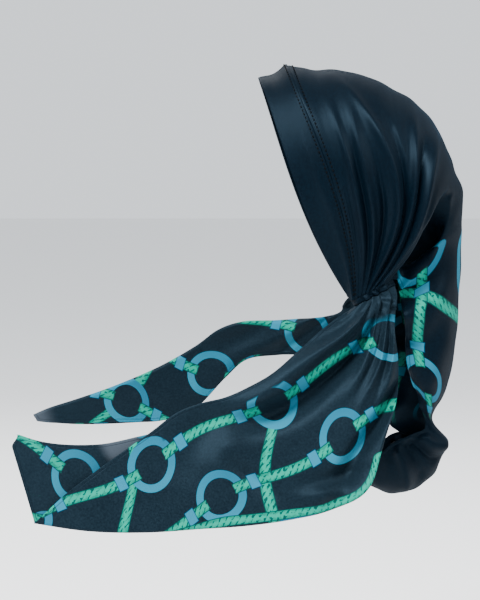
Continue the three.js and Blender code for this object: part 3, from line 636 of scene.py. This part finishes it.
for side, name in ((-1, "left_gather"), (1, "right_gather")):
    turns = np.linspace(0, 2, 193)
    lifts = np.linspace(-1, 1, 17)
    turn_at, lift_at = np.meshgrid(turns, lifts, indexing="ij")
    outer = np.where(turn_at < 1, 1.0, -1.0)
    if side < 0:
        round_at = -outer * np.abs(turn_at - 1)
    else:
        round_at = -outer * (1 - np.abs(turn_at - 1))
    round_at = np.clip(round_at / pleated_share, -1, 1)
    pleat = puckers(round_at, 0.04 * (1 + lift_at))
    full = 0.4 + 0.6 * ease(-0.1, 0.1, np.sin(math.pi * turn_at))
    grow = tie_grow * (pleat + 0.25) * (1 - 0.3 * ease(0.2, 1, lift_at))
    swell = (grow - tie_deep * (1 - lift_at**2)) * full
    swell = swell * ease(0.03, 0.22, np.sin(math.pi * turn_at / 2) ** 2)
    rim = np.stack([gather_rim(side, turns, tie_middle + tie_half * lift) for lift in lifts], 1)
    middle = np.array([gather_back, side * gather_span / 2, -crown_height])
    spread = rim - middle
    reach = np.linalg.norm(spread, axis=-1, keepdims=True)
    pleat_rows = np.linspace(0, peak_row, 400)
    pleat_turn = through_rows(crown_sections, pleat_rows)[:, 2]
    pleat_rim = scarf(pleat_rows, np.full_like(pleat_rows, side))
    met = np.clip(turns, pleat_turn[0], pleat_turn[-1])
    pleat_rim = np.stack([np.interp(met, pleat_turn, pleat_rim[:, k]) for k in range(3)], -1)
    outside = ease(0.02, 0.06, turns) * (1 - ease(0.88, 0.96, turns))
    follow = (outside[:, None] * ease(-0.4, 0.9, lift_at))[..., None]
    pleated = (pleat_rim - gather_rim(side, met, seated_at))[:, None]
    at_top = ease(0.6, 1, lift_at)
    pleated = pleated - (edge_inside + 0.0005 * at_top)[..., None] * spread / reach
    raised = (tie_raised * outside[:, None] * at_top)[..., None]
    rim = rim + (1 - follow) * spread / reach * swell[..., None] + follow * pleated
    rim = rim + raised * np.array([-math.sin(tie_tilt), 0, math.cos(tie_tilt)])
    mesh = bpy.data.meshes.new(name + "_tie")
    points = rim[:-1].reshape(-1, 3)
    count = len(turns) - 1
    faces = []
    for k in range(count):
        after = (k + 1) % count
        for m in range(len(lifts) - 1):
            a, b = k * len(lifts) + m, after * len(lifts) + m
            faces.append((a, b, b + 1, a + 1))
    faces.append(tuple(k * len(lifts) for k in range(count)))
    faces.append(tuple(k * len(lifts) + len(lifts) - 1 for k in range(count)))
    mesh.from_pydata(points.tolist(), [], faces)
    finish_closed(mesh, plain_satin)
    mesh.uv_layers.new(name="cloth")
    far = mesh.attributes.new("from_hem", "FLOAT", "POINT")
    far.data.foreach_set("value", np.full(len(mesh.vertices), no_hem, np.float32))
    tie = add_object(name + "_tie", mesh)
    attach(tie, "root")
    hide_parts(name)

# Left tail: a printed satin cloth folded in two, gathered into narrow pleats at the tie. It falls
# forward over the left shoulder, its fold low and its two hemmed edges high, and ends in a point.
left_tail_size = {"length": 0.322, "drop": 0.206, "out": 0.064, "gap": 0.007, "belly": 0.012}
# Outer edge, fold and inner edge: ahead of the gather and below it, as shares of length and drop.
left_sections = [
    (0.052, 0.03, -0.052, -0.03, 0.05, 0.03),
    (0.1, 0.1, -0.062, 0.15, 0.08, 0.12),
    (0.15, 0.16, -0.063, 0.34, 0.12, 0.23),
    (0.21, 0.24, -0.054, 0.51, 0.19, 0.32),
    (0.28, 0.33, -0.022, 0.68, 0.25, 0.39),
    (0.35, 0.39, 0.03, 0.83, 0.31, 0.44),
    (0.41, 0.43, 0.113, 0.905, 0.37, 0.48),
    (0.475, 0.455, 0.226, 0.943, 0.44, 0.51),
    (0.543, 0.496, 0.347, 0.967, 0.52, 0.55),
    (0.613, 0.577, 0.468, 0.98, 0.64, 0.595),
    (0.716, 0.689, 0.616, 0.995, 0.756, 0.63),
    (0.83, 0.82, 0.775, 0.99, 0.88, 0.625),
    (0.905, 0.925, 0.925, 0.955, 1.0, 0.588),
]
# Degrees below straight ahead at 40, 90 and 150 mm from the gather, half-width in degrees, height
# in metres, and where the fold ends as a share of the tail's length.
left_folds = [
    (54, 43.5, 41, 6.0, 0.011, 0.8),
    (79, 61, 46, 5.6, -0.0175, 0.78),
    (88, 74, 62, 3.4, 0.0045, 0.34),
    (97, 80, 68, 1.8, -0.0024, 0.32),
    (103, 86, 74, 2.2, 0.0042, 0.36),
    (110, 92, 79, 1.8, -0.0028, 0.36),
    (117, 96, 81, 2.0, 0.0034, 0.3),
    (126, 100, 82, 3.4, -0.013, 0.72),
    (134, 109, 91, 4.6, 0.0062, 0.75),
    (66, 52, 42, 1.6, 0.0022, 0.26),
]
# Soft dents: ahead of the gather, below it, tilt in degrees, half-length, half-width and height.
left_dents = [
    (0.034, 0.158, 12, 0.026, 0.007, -0.005),
    (0.04, 0.172, 8, 0.024, 0.008, 0.0052),
    (0.108, 0.158, -38, 0.03, 0.007, -0.0046),
    (0.17, 0.17, -30, 0.034, 0.012, 0.0032),
    (0.235, 0.15, -50, 0.03, 0.009, -0.003),
]
tail_crest = 0.0004


def tail_lie(size, folds, dents, fore, down):
    """How far a place of a tail lies out from its gather, with the folds that fan from there."""
    near_at, middle_at, far_at = 0.04, 0.09, 0.15
    ahead, below = fore * size["length"], down * size["drop"]
    away = np.hypot(ahead, below)
    angle = np.degrees(np.arctan2(below, ahead))
    lie = size["out"] * np.maximum(0, 0.75 * down + 0.35 * fore)
    lie = lie + size["belly"] * np.sin(math.pi * np.minimum(1, away / size["length"]))
    for near, middle, far, width, tall, stop in folds:
        most = (np.radians(width) * away) ** 2 / (2 * tail_crest)
        height = math.copysign(1, tall) * np.minimum(abs(tall), most)
        end = stop * size["length"]
        at = np.clip(away, 0.025, 0.2)
        first = (middle - near) / (middle_at - near_at)
        second = (far - middle) / (far_at - middle_at)
        bend = (second - first) / (far_at - near_at)
        line = near + (at - near_at) * (first + (at - middle_at) * bend)
        off = angle - line + 1.2 * np.sin(away * 60 + near)
        lie = lie + height * np.exp(-((off / width) ** 2)) * (1 - ease(0.5 * end, end, away))
    for dent_fore, dent_down, tilt, long, wide, tall in dents:
        tilt = math.radians(tilt)
        along = (ahead - dent_fore) * math.cos(tilt) + (below - dent_down) * math.sin(tilt)
        aside = (below - dent_down) * math.cos(tilt) - (ahead - dent_fore) * math.sin(tilt)
        lie = lie + tall * np.exp(-((along / long) ** 2) - (aside / wide) ** 2)
    soft = 0.0012 * np.sin(away * 48 + angle * 0.11) * np.sin(angle * 0.16 + 1)
    return lie + soft * ease(0.03, 0.1, away)


def tail_face(size, sections, folds, dents, side, fold_in_front):
    """A tail's surface: along from gather (0) to tip (1), across from edge to fold to edge."""
    radius, settle, fold_share = size["gap"] / 2, 0.1, 0.12
    pucker_height, pucker_more, pad_height = 0.0019, 0.001, 0.0026
    corner_cut = 0.008 if side < 0 else 0

    def opened(s, across, along):
        sway = 0.009 * np.sin(24 * along + 0.6)
        sway = sway * ease(0.02, 0.1, along) * (1 - ease(0.34, 0.5, along))
        fold = s[..., 2:4] + np.stack([sway, 0 * sway], -1)
        edge = np.where((across < 0)[..., None], s[..., 0:2], s[..., 4:6])
        scale = np.array([size["length"], size["drop"]])
        height = np.linalg.norm((edge - fold) * scale, axis=-1)
        turned = np.minimum(np.abs(across) / fold_share, 1)
        straight = np.maximum(np.abs(across) - fold_share, 0) / (1 - fold_share)
        up = radius * (1 - np.cos(math.pi / 2 * turned)) + (height - radius) * straight
        layer = -np.sign(across) * radius * np.sin(math.pi / 2 * turned)
        at = fold + (edge - fold) * (up / height)[..., None]
        fore, down = at[..., 0], at[..., 1]
        y = side * (gather_span / 2 + tail_lie(size, folds, dents, fore, down) + layer)
        x, z = gather_back - fore * size["length"], -crown_height - down * size["drop"]
        return np.stack([x, y, z], -1)

    def face(along, across):
        s = through_rows(sections, along * (len(sections) - 1))
        point = opened(s, across, along)
        root = opened(np.broadcast_to(np.asarray(sections[0], float), s.shape), across, 0 * along)
        round_tie = pleated_share * np.abs(across)
        way = np.where(across < 0, -1.0, 1.0)
        turn = -way * round_tie if fold_in_front else 1 + way * round_tie
        oval = gather_rim(side, turn, -seated_at, -0.0006)
        centre = np.array([gather_back, side * gather_span / 2, -crown_height])
        spread = oval - centre
        spread = spread / np.linalg.norm(spread, axis=-1, keepdims=True)
        outside = ease(-0.1, 0.4, side * spread[..., 1]) * ease(0, 0.03, along)
        pad = pad_height * outside * (1 - ease(0.035, 0.13, along))
        puckered = (pucker_height + pucker_more * outside) * (puckers(across, -along) + 0.25)
        puckered = puckered * (1 - ease(0.02, 0.13, along)) + pad
        oval = oval + point - root
        share = ease(0, settle, along)[..., None]
        point = np.where((along < settle)[..., None], oval + (point - oval) * share, point)
        corner = ease(0.86, 1, across) * ease(0.93, 1, along) * corner_cut
        return point + spread * puckered[..., None] + np.stack([corner, 0 * corner, 0 * corner], -1)

    return face


def make_tail(name, node, size, sections, folds, dents, side, fold_in_front, rows, columns, lean):
    """One tail: its grid, its cloth coordinates laid out flat, its wall and the named numbers its
    material reads.
    """
    face = tail_face(size, sections, folds, dents, side, fold_in_front)
    along_line = np.linspace(0, 1, rows) ** 1.15
    half = np.linspace(0, 1, columns // 2 + 1)[1:] ** 1.25
    across_line = np.concatenate([-half[::-1], [0], half])
    outwards = 1 if (side < 0) != fold_in_front else -1
    if outwards < 0:
        across_line = across_line[::-1]
    along, across = np.meshgrid(along_line, across_line, indexing="ij")
    points = face(along, across)
    flat_x, flat_z = -points[..., 0], points[..., 2]
    turned, level = math.sin(lean), math.cos(lean)
    behind_shift, drift_at_tie, drift_at_tip = 0.013, 0.0055, 0.016
    roll_wide, roll_ends, off_border = 0.0125, 0.222, 1.0
    plane = np.stack([flat_z * level + flat_x * turned, flat_x * level - flat_z * turned], -1)
    behind = [flat_z * level - flat_x * turned + behind_shift, flat_x * level + flat_z * turned]
    behind = np.stack(behind, -1)
    quads = grid_quads(*along.shape)
    inner = across.reshape(-1)[quads].mean(-1) > 0
    uv = np.where(inner[:, None, None], behind.reshape(-1, 2)[quads], plane.reshape(-1, 2)[quads])
    steps = run_along(np.swapaxes(points, 0, 1)).T
    from_side = np.minimum(steps, steps[:, -1:] - steps)
    from_tip = run_along(points[::-1])[::-1]
    hem = np.minimum(np.where(along > 0.02, from_side, no_hem), from_tip)
    away = np.hypot(points[..., 0] - gather_back, points[..., 2] + crown_height)
    printed = ease(0.02, 0.035, away)
    # Painted light at the tip: a paler colour stands in for light through the single layer and for
    # its sheen. The print is left off there.
    painted_sheen_share = ease(0.9, 0.97, along)
    if side < 0:
        # The outer layer's top roll is plain, and a patch of the inner layer gets painted light: a
        # paler colour for light showing through the single layer, and for its sheen.
        top_roll = 1 - ease(roll_wide, roll_wide + 0.001, from_side)
        top_roll = top_roll * (1 - ease(roll_ends, roll_ends + 0.003, away))
        printed = printed * (1 - top_roll * (across < 0))
        painted_sheen_share = (across > 0) * ease(0.74, 0.765, along) * (1 - ease(0.815, 0.84, along))
        painted_sheen_share = painted_sheen_share * (1 - ease(0.012, 0.026, from_side))
    fold_column = columns // 2
    from_fold = np.where(across < 0, 1, -1) * np.abs(steps - steps[:, fold_column:fold_column + 1])
    drift = drift_at_tie * (1 - ease(0.35, 0.62, along)) + drift_at_tip * ease(0.68, 0.86, along)
    border_run = run_along(points)[:, fold_column][:, None] + 0 * along
    border = np.where(from_fold > -0.03, from_fold, off_border) + drift
    border = border + 0.2 * (1 - ease(0.1, 0.14, away))
    if side > 0:
        border = border + off_border
    facts = {"from_hem": hem, "printed": printed * (1 - painted_sheen_share), "painted_sheen": painted_sheen_share}
    facts |= {"from_border": border, "border_run": border_run}
    tail = cloth_grid(name, points, uv.reshape(-1, 2), facts)
    give_wall(tail, cloth_wall, printed_satin, print_wrong_side)
    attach(tail, "root")
    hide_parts(node)
    return tail


left_tail = make_tail(
    "left_tail_cloth",
    "left_tail",
    left_tail_size,
    left_sections,
    left_folds,
    left_dents,
    side=-1,
    fold_in_front=False,
    rows=222,
    columns=216,
    lean=0.47,
)

# Right tail: the same cloth on the right, folded in two with its fold high. It lies higher and
# narrower, and from the left its inner layer shows.
right_tail_size = {"length": 0.318, "drop": 0.13, "out": 0.036, "gap": 0.007, "belly": 0.007}
right_sections = [
    (-0.06, -0.054, 0.048, 0.09, -0.058, -0.051),
    (-0.06, 0.085, 0.06, 0.146, -0.053, 0.089),
    (-0.028, 0.262, 0.082, 0.196, -0.02, 0.258),
    (0.041, 0.415, 0.123, 0.231, 0.045, 0.416),
    (0.142, 0.508, 0.186, 0.246, 0.144, 0.511),
    (0.248, 0.523, 0.274, 0.262, 0.248, 0.512),
    (0.349, 0.554, 0.362, 0.269, 0.346, 0.531),
    (0.415, 0.692, 0.437, 0.331, 0.413, 0.676),
    (0.5, 0.908, 0.509, 0.462, 0.501, 0.913),
    (0.601, 1.015, 0.619, 0.615, 0.605, 1.019),
    (0.736, 1.046, 0.758, 0.762, 0.741, 1.032),
    (0.852, 1.054, 0.868, 0.858, 0.853, 1.038),
    (0.94, 1.042, 0.95, 0.923, 0.937, 1.038),
    (0.991, 1.027, 1.0, 0.977, 0.986, 1.026),
]
right_folds = [
    (22, 22, 22, 4, 0.0034, 0.8),
    (31, 31, 31, 3.5, -0.0034, 0.8),
    (40, 40, 40, 2.5, 0.002, 0.6),
    (50, 50, 50, 6, 0.003, 0.5),
    (64, 64, 64, 3, -0.0022, 0.4),
]
right_tail = make_tail(
    "right_tail_cloth",
    "right_tail",
    right_tail_size,
    right_sections,
    right_folds,
    [],
    side=1,
    fold_in_front=True,
    rows=180,
    columns=140,
    lean=0.3,
)

# Nape elastic: a knitted strip behind the neck, sewn to both gathers, which keeps the scarf on. It
# is black, matt and ribbed along its length.
elastic_width, elastic_wall, elastic_bow = 0.016, 0.0014, 0.022
elastic_rib, elastic_ribs, elastic_wave, elastic_gap = 0.22, 7, 0.0004, 0.0014
elastic_reach = gather_span / 2 - gather_depth / 2 - elastic_gap
t_line = np.linspace(-1, 1, 121)
section_line = np.linspace(0, 1, 65)
ring_points = []
for t in t_line:
    centre = np.array([gather_back + elastic_bow * (1 - t * t), elastic_reach * t, -crown_height])
    slope = 2 * elastic_bow * t
    out = np.array([elastic_reach, slope, 0]) / math.hypot(elastic_reach, slope)
    loop = []
    for s in section_line[:-1]:
        angle = 2 * math.pi * s
        up = math.copysign(abs(math.sin(angle)) ** 0.6, math.sin(angle)) * elastic_width / 2
        rib = 1 + elastic_rib * math.cos(up / elastic_width * 2 * math.pi * elastic_ribs)
        flat = math.copysign(abs(math.cos(angle)) ** 0.35, math.cos(angle)) * elastic_wall / 2 * rib
        wave = elastic_wave * math.sin(t * 60) * (up / elastic_width * 2)
        loop.append(centre + out * (flat + wave) + np.array([0, 0, up]))
    ring_points.append(loop)
around = len(section_line) - 1
elastic_points = np.array(ring_points).reshape(-1, 3)
elastic_faces = []
for i in range(len(t_line) - 1):
    for k in range(around):
        a, b = i * around + k, i * around + (k + 1) % around
        elastic_faces.append((a, a + around, b + around, b))
elastic_faces.append(tuple(range(around)))
elastic_faces.append(tuple(range((len(t_line) - 1) * around, len(t_line) * around)))
elastic_mesh = bpy.data.meshes.new("nape_elastic_strip")
elastic_mesh.from_pydata(elastic_points.tolist(), [], elastic_faces)
knit, knit_shader = new_material("knitted elastic")
knit_tree = knit.node_tree
knit_shader.inputs["Roughness"].default_value = 0.85
knit_place = knit_tree.nodes.new("ShaderNodeTexCoord")
knit_loops = knit_tree.nodes.new("ShaderNodeTexVoronoi")
knit_loops.inputs["Scale"].default_value = 900.0
knit_tree.links.new(knit_place.outputs["Object"], knit_loops.inputs["Vector"])
loop_dark, loop_light = (0.003, 0.004, 0.005), (0.009, 0.010, 0.012)
knit_colour = blend(knit_tree, knit_loops.outputs["Distance"], loop_dark, loop_light)
knit_tree.links.new(knit_colour, knit_shader.inputs["Base Color"])
knit_bump = knit_tree.nodes.new("ShaderNodeBump")
knit_bump.inputs["Strength"].default_value = 0.5
knit_bump.inputs["Distance"].default_value = 0.0004
knit_tree.links.new(knit_loops.outputs["Distance"], knit_bump.inputs["Height"])
knit_tree.links.new(knit_bump.outputs[0], knit_shader.inputs["Normal"])
finish_closed(elastic_mesh, knit)
elastic = add_object("nape_elastic_strip", elastic_mesh)
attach(elastic, "root")
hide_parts("nape_elastic")

# Camera, floor and light: the camera stands nearly level with the scarf on the wearer's left. The
# floor is plain and pale, and a broad soft light from the left and above has two weaker ones.
aim = Vector((-0.0874, 0, -0.2098))
camera_raised, camera_away, seen_wide = math.radians(4), 2.0, 0.552
towards = Vector((0, -math.cos(camera_raised), math.sin(camera_raised)))
camera_data = bpy.data.cameras.new("camera")
camera_data.sensor_width = 36
camera_data.lens = camera_data.sensor_width * camera_away / seen_wide
camera = add_object("camera", camera_data)
camera.location = aim + towards * camera_away
camera.rotation_euler = (-towards).to_track_quat("-Z", "Y").to_euler()
bpy.context.scene.camera = camera

bpy.ops.object.select_all(action="DESELECT")
floor_size, floor_level = 30, -0.62
bpy.ops.mesh.primitive_plane_add(size=floor_size, location=(0, 0, floor_level))
floor = bpy.context.active_object
floor.name = "floor"
paint, paint_shader = new_material("pale floor")
paint_shader.inputs["Base Color"].default_value = (0.86, 0.86, 0.86, 1)
paint_shader.inputs["Roughness"].default_value = 0.9
floor.data.materials.append(paint)

world = bpy.data.worlds.new("studio")
bpy.context.scene.world = world
world.use_nodes = True
surround = world.node_tree.nodes["Background"]
surround.inputs["Color"].default_value = (0.9, 0.95, 1.0, 1)
surround.inputs["Strength"].default_value = 1.25
for name, place, size, power in (
    ("key light", (-1.0, -1.6, 1.9), 1.0, 270),
    ("back light", (1.5, -0.7, 1.0), 0.8, 30),
    ("far light", (-0.4, 1.8, 1.0), 1.2, 24),
):
    lamp = bpy.data.lights.new(name, "AREA")
    lamp.shape = "DISK"
    lamp.size = size
    lamp.energy = power
    light = add_object(name, lamp)
    light.location = place
    light.rotation_euler = (aim - Vector(place)).to_track_quat("-Z", "Y").to_euler()
